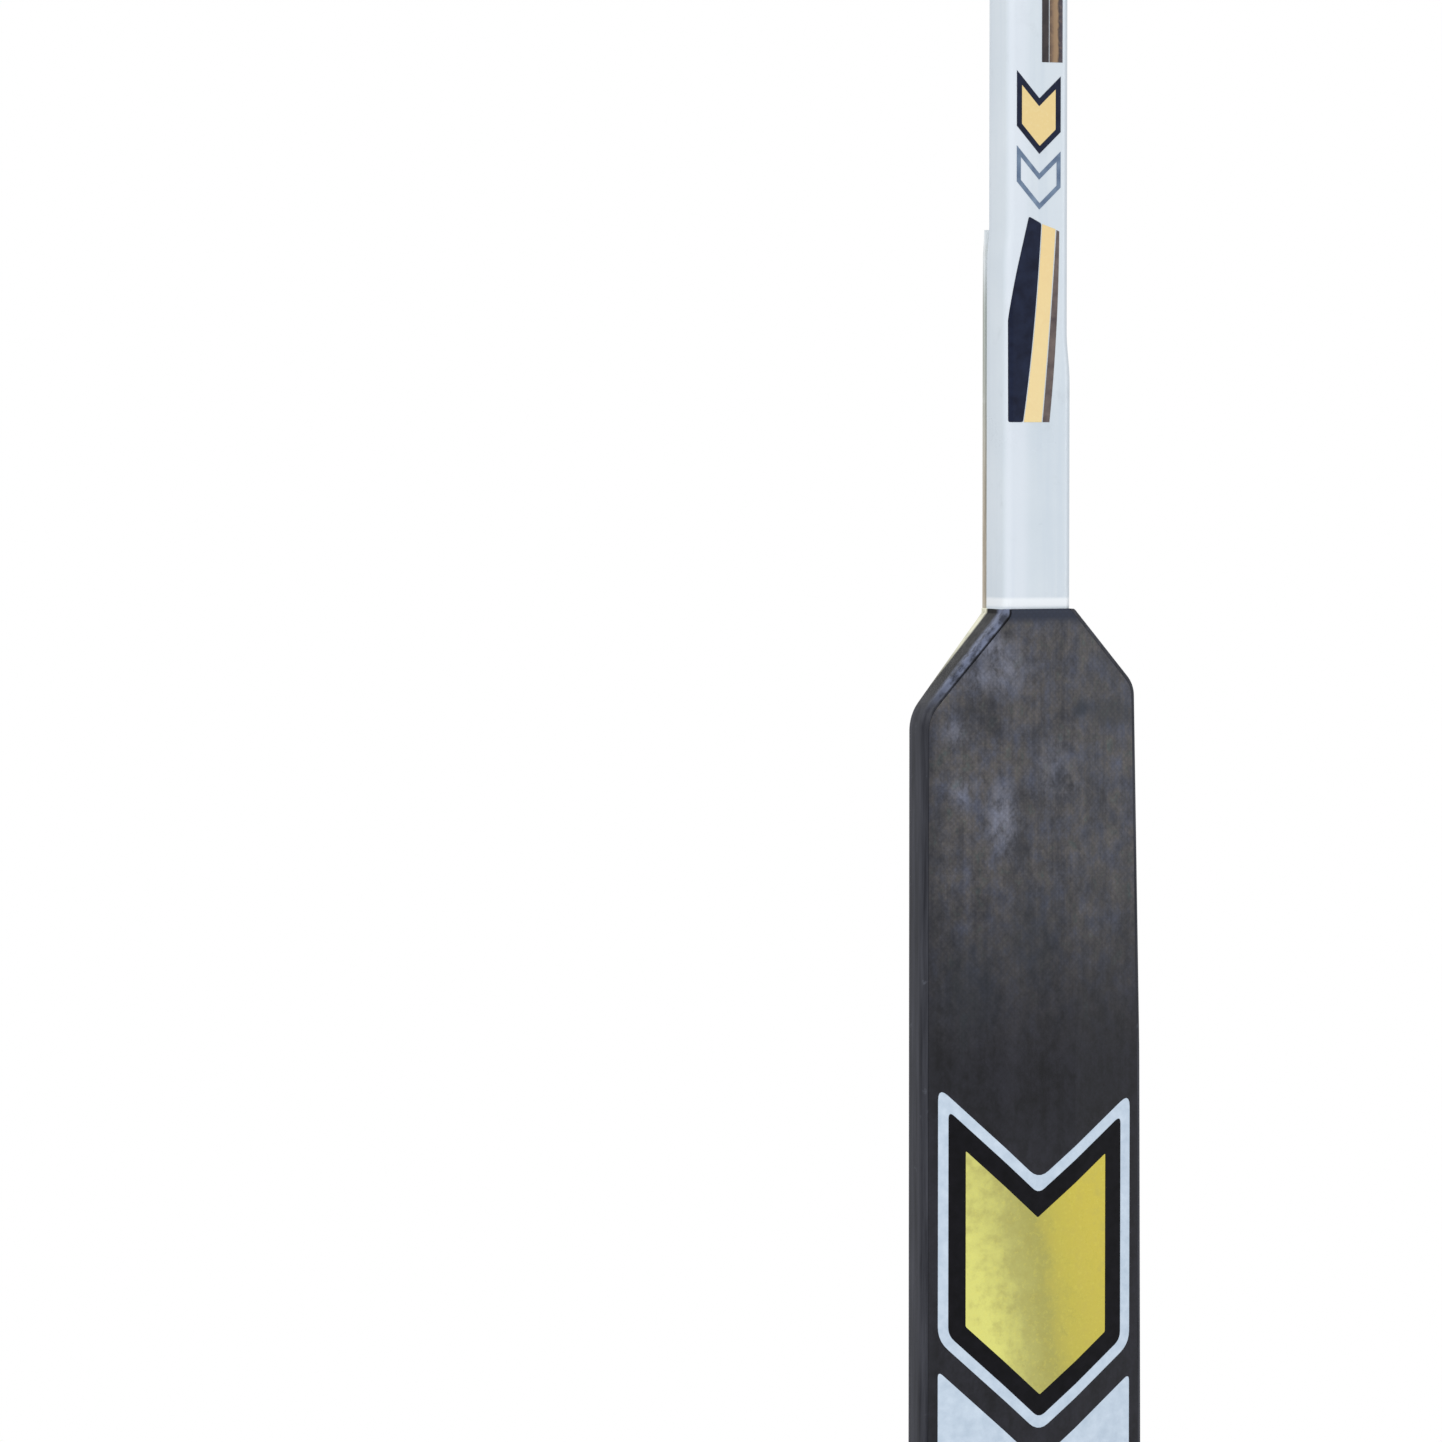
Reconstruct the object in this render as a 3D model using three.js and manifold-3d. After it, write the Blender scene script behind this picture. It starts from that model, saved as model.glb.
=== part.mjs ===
// Foam-core goalkeeper's ice hockey stick: laminated wood shaft, foam paddle and blade, thin skins.
// Millimetres. +Z runs up the shaft, the blade's toe points to -X, the front face looks along -Y.
// The pieces are drawn from the heel corner, where the sole's line meets the paddle's right edge;
// the finished stick is then lowered so that its origin is in the shaft's middle at the paddle's top,
// where the goalkeeper's hand holds it.
import * as THREE from 'three';
import { mergeVertices } from 'three/addons/utils/BufferGeometryUtils.js';
import Module from 'manifold-3d';

const wasm = await Module();
wasm.setup();

// ---- driving dimensions -------------------------------------------------------------------
const GAP = 0.3;                       // clearance between neighbouring pieces
const SHAFT = { width: 24.5, thick: 18.5, corner: 3, wall: 1, top: 1500 };
const SWELL = { left: 0.9, right: 1.2, leftStart: 137, rightStart: 100 };   // the shaft widens above the paddle
const PLY = { width: 21.9, outer: 3.6, heart: 8.1, chamfer: 1.6, tongue: 22 };
const PADDLE = { top: 660, left: -44.8, right: 44.1, spineLeft: 13.4, spineRight: 14.9, edge: 7 };
const SHOULDER = { leftDrop: 1.6, leftEnd: 38, rightEdge: 40.5, rightEnd: 27.8 };
const FRONT = 10.55;                   // skin face to the middle plane, at the spine
const DOUBLER = { thick: 2, low: 280, full: 340, end: 302 };
const SKIN = 1;
const BLADE = { lie: 26, length: 394, height: 88.9, toeHeight: 84, thin: 2.6, bend: 14, straight: 110 };
const RAIL = { depth: 6, lip: 2.2 };
const SEAM = 59;                       // height where the paddle's pieces meet the blade's
const HEEL_BLOCK = 128;                // length of the hardwood block along the sole
const TOE_RAIL = 372;
const RIB = { low: 39, high: 42.4 };
const FILM = { gap: 0.1, thick: 0.15 };

// ---- the blade's own directions -------------------------------------------------------------
const lie = THREE.MathUtils.degToRad(BLADE.lie);
const heel = new THREE.Vector2(PADDLE.right, 0);
const along = new THREE.Vector2(-Math.cos(lie), -Math.sin(lie));   // heel to toe
const across = new THREE.Vector2(-Math.sin(lie), Math.cos(lie));   // sole to top edge
const bladePoint = (u, v) => heel.clone().addScaledVector(along, u).addScaledVector(across, v);
const bladeU = (x, z) => new THREE.Vector2(x, z).sub(heel).dot(along);

// ---- outer surfaces -------------------------------------------------------------------------
const mix = (a, b, t) => a + (b - a) * t;
const clamp01 = (t) => Math.min(1, Math.max(0, t));
const smooth = (t) => clamp01(t) ** 2 * (3 - 2 * clamp01(t));

const thinning = (x, z) => BLADE.thin * clamp01((bladeU(x, z) - BLADE.straight) / 280);
// half thickness at the wing's position between the spine (0) and the edge (1)
function halfThickness(spine, x, z) {
  const crease = x < 0 ? PADDLE.spineLeft : PADDLE.spineRight;
  const reach = (x < 0 ? -PADDLE.left : PADDLE.right) - crease;
  const wing = clamp01((Math.abs(x) - crease) / reach);
  const edge = mix(FRONT, PADDLE.edge, smooth((z - 70) / 140));
  return mix(spine, edge, wing) - thinning(x, z);
}
const bulge = (z) => DOUBLER.thick * clamp01((z - DOUBLER.low) / (DOUBLER.full - DOUBLER.low));
function bend(x, z) {
  const beyond = Math.max(0, bladeU(x, z) - BLADE.straight) / (BLADE.length - BLADE.straight);
  return -BLADE.bend * beyond ** 2;
}
const frontY = (x, z, depth) => bend(x, z) - halfThickness(FRONT, x, z) + depth;
const backY = (x, z, depth) => bend(x, z) + halfThickness(FRONT + bulge(z), x, z) - depth;
const bladeFrontY = (x, z, depth) => bend(x, z) - FRONT + thinning(x, z) + depth;
const bladeBackY = (x, z, depth) => bend(x, z) + FRONT - thinning(x, z) - depth;

// ---- outline of paddle and blade in the XZ plane, counter-clockwise from the top left ---------
const cornerC = PADDLE.left;
const topLine = (x) => {
  const a = bladePoint(0, BLADE.height);
  return a.y + (x - a.x) * Math.tan(lie);
};
const corners = [
  { x: -PADDLE.spineLeft, z: PADDLE.top, r: 0.6, top: true },
  { x: -PADDLE.spineLeft, z: PADDLE.top - SHOULDER.leftDrop, r: 1, top: true },
  { x: PADDLE.left, z: PADDLE.top - SHOULDER.leftEnd, r: 16 },
  { x: cornerC, z: topLine(cornerC), r: 38 },
  { ...pointOf(bladePoint(BLADE.length, BLADE.toeHeight)), r: 27 },
  { ...pointOf(bladePoint(BLADE.length, 0)), r: 24 },
  { x: heel.x, z: heel.y, r: 36 },
  { x: PADDLE.right, z: PADDLE.top - 300, r: 900 },
  { x: PADDLE.right - 0.8, z: PADDLE.top - 160, r: 900 },
  { x: SHOULDER.rightEdge, z: PADDLE.top - SHOULDER.rightEnd, r: 11 },
  { x: PADDLE.spineRight, z: PADDLE.top, r: 2.2, top: true },
];
function pointOf(v) { return { x: v.x, z: v.y }; }

// samples of the rounded outline: position, inward normal, and whether it is on the top edge
function sampleOutline() {
  const n = corners.length;
  const runs = corners.map((c, i) => {
    const p = corners[(i + n - 1) % n], q = corners[(i + 1) % n];
    const a = new THREE.Vector2(c.x - p.x, c.z - p.z).normalize();
    const b = new THREE.Vector2(q.x - c.x, q.z - c.z).normalize();
    const turn = Math.atan2(a.cross(b), a.dot(b));
    const cut = c.r * Math.tan(Math.abs(turn) / 2);
    const start = new THREE.Vector2(c.x, c.z).addScaledVector(a, -cut);
    const side = Math.sign(turn);
    const centre = start.clone().add(new THREE.Vector2(-a.y, a.x).multiplyScalar(side * c.r));
    const steps = Math.max(2, Math.ceil(Math.abs(turn) / 0.16));
    const arc = [];
    for (let k = 0; k <= steps; k++) {
      const t = turn * k / steps;
      const dir = a.clone().rotateAround(new THREE.Vector2(), t);
      const normal = new THREE.Vector2(-dir.y, dir.x);
      const at = centre.clone().addScaledVector(normal, -side * c.r);
      arc.push({ x: at.x, z: at.y, nx: normal.x, nz: normal.y, top: !!c.top });
    }
    return arc;
  });
  const out = [];
  runs.forEach((arc, i) => {
    out.push(...arc);
    const from = arc[arc.length - 1], to = runs[(i + 1) % n][0];
    const gap = Math.hypot(to.x - from.x, to.z - from.z);
    const steps = Math.ceil(gap / 33);
    const ends = from.top === to.top ? [] : [from.top ? 0.01 : 0.99];
    const between = Array.from({ length: steps - 1 }, (_, k) => (k + 1) / steps);
    for (const t of [...ends, ...between].sort((a, b) => a - b)) {
      out.push({ ...from, x: mix(from.x, to.x, t), z: mix(from.z, to.z, t), top: from.top && to.top });
    }
  });
  return out;
}
const outline = sampleOutline();
const inset = (d) => outline.map((p) => (p.top ? [p.x, p.z] : [p.x + d * p.nx, p.z + d * p.nz]));

// ---- solids -----------------------------------------------------------------------------------
function solid(geometry) {
  let g = geometry.clone();
  g.deleteAttribute('normal');
  g.deleteAttribute('uv');
  g = mergeVertices(g, 1e-4);
  const mesh = new wasm.Mesh({
    numProp: 3,
    vertProperties: new Float32Array(g.attributes.position.array),
    triVerts: new Uint32Array(g.index.array),
  });
  return new wasm.Manifold(mesh);
}
function shapeOf(points) {
  return new THREE.Shape(points.map(([x, y]) => new THREE.Vector2(x, y)));
}
// a prism through the thickness, from an outline in the XZ plane
function prism(points, y0 = -60, y1 = 60) {
  const area = THREE.ShapeUtils.area(points.map(([x, y]) => new THREE.Vector2(x, y)));
  const ring = area < 0 ? [...points].reverse() : points;
  const g = new THREE.ExtrudeGeometry(shapeOf(ring), { depth: y1 - y0, bevelEnabled: false });
  g.rotateX(Math.PI / 2).translate(0, y1, 0);
  return solid(g);
}
const box = (x0, x1, z0, z1, y0 = -60, y1 = 60) => prism([[x0, z0], [x1, z0], [x1, z1], [x0, z1]], y0, y1);
function bladeBox(u0, u1, v0, v1) {
  const ring = [[u0, v0], [u0, v1], [u1, v1], [u1, v0]].map(([u, v]) => bladePoint(u, v));
  return prism(ring.map((p) => [p.x, p.y]));
}
// a sheet or slab whose faces follow the outer surfaces at the given depths below them
function slab(columns, rows, place, front, back) {
  const g = new THREE.BoxGeometry(1, 1, 1, columns.length - 1, 1, rows.length - 1);
  const at = g.attributes.position;
  for (let i = 0; i < at.count; i++) {
    const c = columns[Math.round((at.getX(i) + 0.5) * (columns.length - 1))];
    const r = rows[Math.round((at.getZ(i) + 0.5) * (rows.length - 1))];
    const p = place(c, r);
    at.setXYZ(i, p.x, at.getY(i) < 0 ? front(p.x, p.y) : back(p.x, p.y), p.y);
  }
  return solid(g);
}
const steps = (a, b, size) => {
  const n = Math.max(1, Math.round(Math.abs(b - a) / size));
  return Array.from({ length: n + 1 }, (_, k) => mix(a, b, k / n));
};
const paddleColumns = [-80, PADDLE.left, -29, -PADDLE.spineLeft, PADDLE.spineRight, 29.5, PADDLE.right, 60];
const paddleRows = [...steps(40, 220, 12), ...steps(DOUBLER.low, DOUBLER.full, 12), PADDLE.top + 10];
const bladeColumns = steps(BLADE.length + 20, BLADE.straight, 24).concat(-80);
const flat = (x, z) => new THREE.Vector2(x, z);
const paddleSlab = (front, back) => slab(paddleColumns, paddleRows, flat, front, back);
const bladeSlab = (front, back) => slab(bladeColumns, [-20, 150], bladePoint, front, back);
const at = (face, depth) => (x, z) => face(x, z, depth);
const above = box(-200, 200, SEAM + GAP / 2, 2000);
const below = box(-600, 200, -600, SEAM - GAP / 2);
const paddleLayers = {
  front: paddleSlab(at(frontY, 0), at(frontY, SKIN)),
  core: paddleSlab(at(frontY, SKIN + GAP), at(backY, SKIN + GAP)),
  back: paddleSlab(at(backY, SKIN), at(backY, 0)),
};
const bladeLayers = {
  front: bladeSlab(at(bladeFrontY, 0), at(bladeFrontY, SKIN)),
  core: bladeSlab(at(bladeFrontY, SKIN + GAP), at(bladeBackY, SKIN + GAP)),
  back: bladeSlab(at(bladeBackY, SKIN), at(bladeBackY, 0)),
};

// the edge rail: a nosed section carried round the whole outline, rebated under both skins
function edgeBand() {
  const half = 10;
  const lip = RAIL.lip - GAP, under = SKIN + GAP;
  const upper = [[0, 3.2], [0.25, 1.7], [0.9, 0.6], [lip, 0], [lip, under], [RAIL.depth, under]];
  const ring = upper.map(([a, t]) => [a, half - t]);
  const section = [...ring, ...ring.map(([a, q]) => [a, -q]).reverse()].reverse();
  const first = outline.findIndex((p) => !p.top);
  const last = outline.length - 1 - [...outline].reverse().findIndex((p) => !p.top);
  const path = outline.slice(first, last + 1);
  const extend = (p, q, by) => {
    const d = Math.hypot(p.x - q.x, p.z - q.z);
    return { ...p, x: p.x + (p.x - q.x) / d * by, z: p.z + (p.z - q.z) / d * by };
  };
  path.unshift(extend(path[0], path[1], 14));
  path.push(extend(path[path.length - 1], path[path.length - 2], 14));
  const n = path.length - 1;
  const g = new THREE.ExtrudeGeometry(shapeOf(section), { depth: n, steps: n, bevelEnabled: false });
  const at = g.attributes.position;
  for (let i = 0; i < at.count; i++) {
    const a = at.getX(i), q = at.getY(i), p = path[Math.round(at.getZ(i))];
    const x = p.x + a * p.nx, z = p.z + a * p.nz;
    const depth = half - Math.abs(q);
    at.setXYZ(i, x, q > 0 ? frontY(x, z, depth) : backY(x, z, depth), z);
  }
  return solid(g).intersect(prism(inset(0)));
}

// ---- shaft --------------------------------------------------------------------------------------
function roundedRect(width, thick, radius, parts = 4) {
  const out = [];
  [[1, 1, 0], [-1, 1, 1], [-1, -1, 2], [1, -1, 3]].forEach(([sx, sy, k]) => {
    for (let j = 0; j <= parts; j++) {
      const t = (k + j / parts) * Math.PI / 2;
      out.push([
        sx * (width / 2 - radius) + radius * Math.cos(t),
        sy * (thick / 2 - radius) + radius * Math.sin(t),
      ]);
    }
  });
  return out;
}
function column(points, z0, z1) {
  const g = new THREE.ExtrudeGeometry(shapeOf(points), { depth: z1 - z0, bevelEnabled: false });
  return solid(g.translate(0, 0, z0));
}
function shaftWrap() {
  const low = SEAM + GAP / 2;
  const start = PADDLE.top + SWELL.leftStart, later = PADDLE.top + SWELL.rightStart;
  const levels = [low, later - 18, later - 9, later, start - 11, start - 5, start, SHAFT.top];
  const n = levels.length - 1;
  const ring = roundedRect(SHAFT.width, SHAFT.thick, SHAFT.corner);
  const g = new THREE.ExtrudeGeometry(shapeOf(ring), { depth: n, steps: n, bevelEnabled: false });
  const at = g.attributes.position;
  for (let i = 0; i < at.count; i++) {
    const z = levels[Math.round(at.getZ(i))], x = at.getX(i);
    const left = SWELL.left * smooth((start - z) / 11);
    const right = SWELL.right * smooth((later - z) / 18);
    at.setXYZ(i, x + (x > 0 ? right : -left), at.getY(i), z);
  }
  const bore = roundedRect(SHAFT.width - 2 * SHAFT.wall, SHAFT.thick - 2 * SHAFT.wall, 1.8, 2);
  return solid(g).subtract(column(bore, low - 1, SHAFT.top + 1));
}
function outerPly(side) {
  const w = PLY.width / 2, c = PLY.chamfer;
  const near = PLY.heart / 2 + GAP, far = near + PLY.outer;
  let ring = [[-w, near], [w, near], [w, far - c], [w - c, far], [-w + c, far], [-w, far - c]];
  if (side < 0) ring = ring.map(([x, y]) => [x, -y]).reverse();
  return column(ring, SEAM + GAP / 2, SHAFT.top);
}
const heartPly = () => box(-PLY.width / 2, PLY.width / 2, PLY.tongue, SHAFT.top, -PLY.heart / 2, PLY.heart / 2);
function backDoubler() {
  const left = -SHAFT.width / 2 - SWELL.left + 0.2, right = SHAFT.width / 2;
  const end = PADDLE.top + SWELL.leftStart;
  const inner = SHAFT.thick / 2 + GAP;
  const full = inner + DOUBLER.thick - GAP;
  const rows = [DOUBLER.end, DOUBLER.full, end - 9, end];
  const outer = (x, z) => {
    if (z >= end) return inner + 0.5;
    return z < DOUBLER.full ? inner + bulge(z) - GAP : full;
  };
  return slab([left, right], rows, flat, () => inner, outer);
}

// ---- assembly --------------------------------------------------------------------------------------
const stick = new THREE.Group();
const paint = {
  white: [0xe4e9ee, 0.3, 0], aspen: [0xdcc79c, 0.8, 0], birch: [0xd2b27c, 0.75, 0],
  veneer: [0xa79f92, 0.7, 0], graphite: [0x2f3439, 0.38, 0.1], edge: [0x24282d, 0.45, 0],
  foam: [0xe9dfc0, 0.95, 0], hardwood: [0xb98d57, 0.7, 0], sole: [0x1b1d20, 0.55, 0],
  glass: [0x9fae9c, 0.4, 0], navy: [0x16243a, 0.35, 0], gold: [0xd8bd6c, 0.35, 0.3],
  silver: [0xbccbdc, 0.3, 0.4], black: [0x0c0d10, 0.4, 0],
};
function add(name, body, look) {
  const [color, roughness, metalness] = paint[look];
  const mesh = body.getMesh();
  const g = new THREE.BufferGeometry();
  g.setAttribute('position', new THREE.BufferAttribute(new Float32Array(mesh.vertProperties), 3));
  g.setIndex(new THREE.BufferAttribute(new Uint32Array(mesh.triVerts), 1));
  g.computeVertexNormals();
  const piece = new THREE.Mesh(g, new THREE.MeshStandardMaterial({ color, roughness, metalness }));
  piece.name = name;
  stick.add(piece);
}

add('shaft_heart_ply', heartPly(), 'aspen');
add('shaft_front_ply', outerPly(-1), 'birch');
add('shaft_back_ply', outerPly(1), 'birch');
add('shaft_wrap', shaftWrap(), 'white');
add('shaft_back_doubler', backDoubler(), 'veneer');

const skinArea = prism(inset(RAIL.lip));
const coreArea = prism(inset(RAIL.depth + GAP));
const leftOfSpine = box(-200, -SHAFT.width / 2 - SWELL.left - GAP, -600, PADDLE.top - 14);
const rightOfSpine = box(SHAFT.width / 2 + SWELL.right + GAP, 200, -600, PADDLE.top - 8);
const paddleCore = paddleLayers.core.intersect(coreArea).intersect(above);
add('paddle_left_foam', paddleCore.intersect(leftOfSpine), 'foam');
add('paddle_right_foam', paddleCore.intersect(rightOfSpine), 'foam');
add('paddle_front_skin', paddleLayers.front.intersect(skinArea).intersect(above), 'graphite');
add('paddle_back_skin', paddleLayers.back.intersect(skinArea).intersect(above), 'graphite');

const band = edgeBand();
// under the skins' top edges, where they have no rebate, the rails stop short of them
const skinEnds = box(-15.6, 17.2, PADDLE.top - 9.6, PADDLE.top + 20);
const underSkins = paddleLayers.core.intersect(skinEnds);
const upperBand = band.intersect(above).subtract(skinEnds).add(band.intersect(underSkins));
const lowerBand = band.intersect(below);
add('paddle_left_rail', upperBand.intersect(box(-200, -SHAFT.width / 2 - SWELL.left - GAP, 0, 2000)), 'edge');
add('paddle_right_rail', upperBand.intersect(box(SHAFT.width / 2 + SWELL.right + GAP, 200, 0, 2000)), 'edge');
const beforeToe = bladeBox(-200, TOE_RAIL - GAP / 2, -50, 300);
const topStretch = bladeBox(20, 600, 44, 200);
add('blade_top_rail', lowerBand.intersect(beforeToe).intersect(topStretch), 'edge');
add('blade_toe_rail', lowerBand.intersect(bladeBox(TOE_RAIL + GAP / 2, 600, -50, 200)), 'edge');
add('blade_sole_strip', lowerBand.intersect(beforeToe).subtract(topStretch), 'sole');

const bladeCore = bladeLayers.core.intersect(coreArea).intersect(below);
const slot = box(-PLY.width / 2 - GAP, PLY.width / 2 + GAP, PLY.tongue - GAP, 100,
  -PLY.heart / 2 - GAP, PLY.heart / 2 + GAP);
add('blade_heel_block', bladeCore.intersect(bladeBox(-200, HEEL_BLOCK, -50, 300)).subtract(slot), 'hardwood');
const foamStart = HEEL_BLOCK + GAP;
add('blade_upper_foam', bladeCore.intersect(bladeBox(foamStart, 600, RIB.high + GAP, 300)), 'foam');
add('blade_rib', bladeCore.intersect(bladeBox(foamStart, 600, RIB.low, RIB.high)), 'glass');
add('blade_lower_foam', bladeCore.intersect(bladeBox(foamStart, 600, -50, RIB.low - GAP)), 'foam');
add('blade_front_skin', bladeLayers.front.intersect(skinArea).intersect(below), 'graphite');
add('blade_back_skin', bladeLayers.back.intersect(skinArea).intersect(below), 'graphite');

// ---- printed films --------------------------------------------------------------------------------
// an outline's points from a start and quadratic bends [controlX, controlZ, x, z] or lines [x, z]
function drawn(start, ...moves) {
  const shape = new THREE.Shape().moveTo(...start);
  for (const m of moves) m.length === 2 ? shape.lineTo(...m) : shape.quadraticCurveTo(...m);
  return shape.getPoints(8).map((p) => [p.x, p.y + PADDLE.top]);
}
function shrunk(points, d) {
  const n = points.length;
  return points.map((p, i) => {
    const a = new THREE.Vector2(...points[(i + n - 1) % n]), b = new THREE.Vector2(...p);
    const c = new THREE.Vector2(...points[(i + 1) % n]);
    const t1 = b.clone().sub(a).normalize(), t2 = c.clone().sub(b).normalize();
    const n1 = new THREE.Vector2(-t1.y, t1.x), n2 = new THREE.Vector2(-t2.y, t2.x);
    const m = n1.clone().add(n2).multiplyScalar(d / (1 + n1.dot(n2)));
    return [b.x + m.x, b.y + m.y];
  });
}
const shaftFilm = (points) => prism(points, -SHAFT.thick / 2 - FILM.gap - FILM.thick, -SHAFT.thick / 2 - FILM.gap);
const paddleFilm = paddleSlab(at(frontY, -FILM.gap - FILM.thick), at(frontY, -FILM.gap));
// a V-shaped band with its tips up
function chevron(left, right, tipLeft, tipRight, middle, arm) {
  return [[left, tipLeft], [left, tipLeft - arm], [0, middle - arm], [right, tipRight - arm],
    [right, tipRight], [0, middle]].map(([x, z]) => [x, z + PADDLE.top]);
}

const lowerBar = { top: 141.5, low: 67.4 };
add('lower_bar_left', shaftFilm(drawn([-9.6, lowerBar.low], [-6.35, lowerBar.low],
  [-1.55, 98, 0.85, 139], [-4.1, lowerBar.top], [-8.4, 128, -9.6, 112])), 'navy');
add('lower_bar_stripe', shaftFilm(drawn([-6, lowerBar.low], [1.1, lowerBar.low],
  [4.2, 100, 6.5, 137], [1.2, 138.8], [-1.2, 98, -6, lowerBar.low])), 'gold');
add('lower_bar_right', shaftFilm(drawn([1.5, lowerBar.low], [4.2, lowerBar.low],
  [7.8, 100, 8, 136.2], [6.9, 136.7], [4.6, 100, 1.5, lowerBar.low])), 'navy');
const upperBar = { low: 197, top: 282 };
const upright = (from, to) => shaftFilm([[from, upperBar.low], [to, upperBar.low], [to, upperBar.top],
  [from, upperBar.top]].map(([x, z]) => [x, z + PADDLE.top]));
add('upper_bar_left', upright(1, 3.7), 'navy');
add('upper_bar_stripe', upright(4, 9.2), 'gold');
// a filled V above an open one
const mark = chevron(-9, 8.5, 194, 192, 184, 20), openMark = chevron(-9, 8.5, 167, 165, 157, 13);
add('shaft_mark', shaftFilm(mark).subtract(shaftFilm(shrunk(mark, 2))), 'navy');
add('shaft_mark_fill', shaftFilm(shrunk(mark, 2.25)), 'gold');
add('shaft_mark_lower', shaftFilm(openMark).subtract(shaftFilm(shrunk(openMark, 1.6))), 'navy');

const big = chevron(-39, 38, -172, -177, -207, 92);
const key = shrunk(big, 4), fill = shrunk(key, 6.5);
const onFront = (points) => paddleFilm.intersect(prism(points));
add('emblem_outline', onFront(big).subtract(prism(shrunk(big, 3.85))), 'silver');
add('emblem_keyline', onFront(shrunk(key, 0.15)).subtract(prism(shrunk(fill, -0.15))), 'black');
add('emblem_fill', onFront(shrunk(fill, 0.15)), 'gold');
add('emblem_lower_band', onFront(chevron(-39, 38, -275, -280, -310, 36)), 'silver');

stick.position.z = -PADDLE.top;
export default stick;
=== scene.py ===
"""Looks for the goalkeeper's ice hockey stick: paint, laminate, edges, prints, floor, light and camera.

Lengths are in millimetres in the CAD model's own frame, with z counted from the heel corner;
make() turns them into metres in the row's frame, whose origin is at the paddle's top edge.
The dimensions repeat the CAD's. Places in the materials and films are heights over the paddle's top edge.
"""
import math

import bmesh
import bpy
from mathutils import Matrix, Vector

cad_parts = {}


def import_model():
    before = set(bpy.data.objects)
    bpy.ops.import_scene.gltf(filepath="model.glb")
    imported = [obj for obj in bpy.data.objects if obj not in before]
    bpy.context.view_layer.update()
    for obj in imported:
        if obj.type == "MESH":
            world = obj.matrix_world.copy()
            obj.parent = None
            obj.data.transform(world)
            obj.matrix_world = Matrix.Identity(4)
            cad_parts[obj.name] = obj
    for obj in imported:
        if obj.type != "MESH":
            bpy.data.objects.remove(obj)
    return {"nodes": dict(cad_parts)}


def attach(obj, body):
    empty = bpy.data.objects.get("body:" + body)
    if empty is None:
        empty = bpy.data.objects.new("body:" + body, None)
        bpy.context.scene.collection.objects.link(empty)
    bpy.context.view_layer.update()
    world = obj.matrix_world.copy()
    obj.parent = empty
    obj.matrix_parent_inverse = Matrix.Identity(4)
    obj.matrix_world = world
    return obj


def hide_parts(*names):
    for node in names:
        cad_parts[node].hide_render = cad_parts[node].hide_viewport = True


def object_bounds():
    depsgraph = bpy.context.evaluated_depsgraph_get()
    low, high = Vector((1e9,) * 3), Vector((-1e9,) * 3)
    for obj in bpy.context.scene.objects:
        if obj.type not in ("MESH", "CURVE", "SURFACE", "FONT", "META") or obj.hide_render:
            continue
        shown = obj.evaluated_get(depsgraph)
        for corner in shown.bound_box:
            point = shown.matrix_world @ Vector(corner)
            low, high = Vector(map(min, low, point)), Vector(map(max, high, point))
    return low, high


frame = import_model()
cad_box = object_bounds()
MM = 0.001

# ---- the stick's shape ---------------------------------------------------------------------------
TOP = 660.0                      # paddle's top edge
SEAM = 59.0                      # paddle's lower end, where the blade starts
LEFT, RIGHT = -44.8, 44.1        # paddle's edges
CREASE_L, CREASE_R = 13.4, 14.9  # where the flat spine ends and the wings start
FRONT, EDGE = 10.55, 7.0         # half thickness on the spine, and at the wings' edges
CREASE_BLEND = 0.8               # how softly the crease turns
SLIM_LOW, SLIM_RUN = 70, 140     # the wings slim down from FRONT to EDGE over this height
BACK_SPINE = 2.0                 # how much further out the spine stands at the back, once up...
BACK_LOW, BACK_RUN = 280, 60     # ...over this height
LIE = math.radians(26)
LENGTH, HEIGHT, TOE_HEIGHT = 394.0, 88.9, 84.0   # the blade
CURVE_START = 110                # where along the sole the blade starts to curve and to thin
CURVE_DEPTH, CURVE_RUN = 14.0, 284
THINNING, THINNING_RUN = 2.6, 280
GAP, SKIN, LIP = 0.3, 1.0, 2.2   # glue line, skins' thickness, and the rails' width beside the skins
SMALLEST_RADIUS = 0.12           # of a corner in an outline that is moved inwards


def clamp01(t):
    return min(1.0, max(0.0, t))


def smooth(t):
    t = clamp01(t)
    return t * t * (3 - 2 * t)


def blade_point(u, v):
    """u along the sole from the heel, v up across the blade."""
    return (RIGHT - u * math.cos(LIE) - v * math.sin(LIE), -u * math.sin(LIE) + v * math.cos(LIE))


def blade_u(x, z):
    return -(x - RIGHT) * math.cos(LIE) - z * math.sin(LIE)


def half(spine, x, z):
    """Half the thickness at (x, z), where spine is half of it between the creases."""
    crease = CREASE_L if x < 0 else CREASE_R
    reach = (-LEFT if x < 0 else RIGHT) - crease
    d = abs(x) - crease
    wing = clamp01((d + math.hypot(d, CREASE_BLEND)) / 2 / reach)
    edge = FRONT + (EDGE - FRONT) * smooth((z - SLIM_LOW) / SLIM_RUN)
    thinned = THINNING * clamp01((blade_u(x, z) - CURVE_START) / THINNING_RUN)
    return spine + (edge - spine) * wing - thinned


def bend(x, z):
    """The blade's curve: how far its middle has moved along Y."""
    return -CURVE_DEPTH * (max(0.0, blade_u(x, z) - CURVE_START) / CURVE_RUN) ** 2


def front_y(x, z):
    return bend(x, z) - half(FRONT, x, z)


def back_y(x, z):
    return bend(x, z) + half(FRONT + BACK_SPINE * clamp01((z - BACK_LOW) / BACK_RUN), x, z)


# where the blade's top edge meets the paddle's left edge
HEEL_TOP_Z = blade_point(0, HEIGHT)[1] + (LEFT - blade_point(0, HEIGHT)[0]) * math.tan(LIE)
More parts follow.
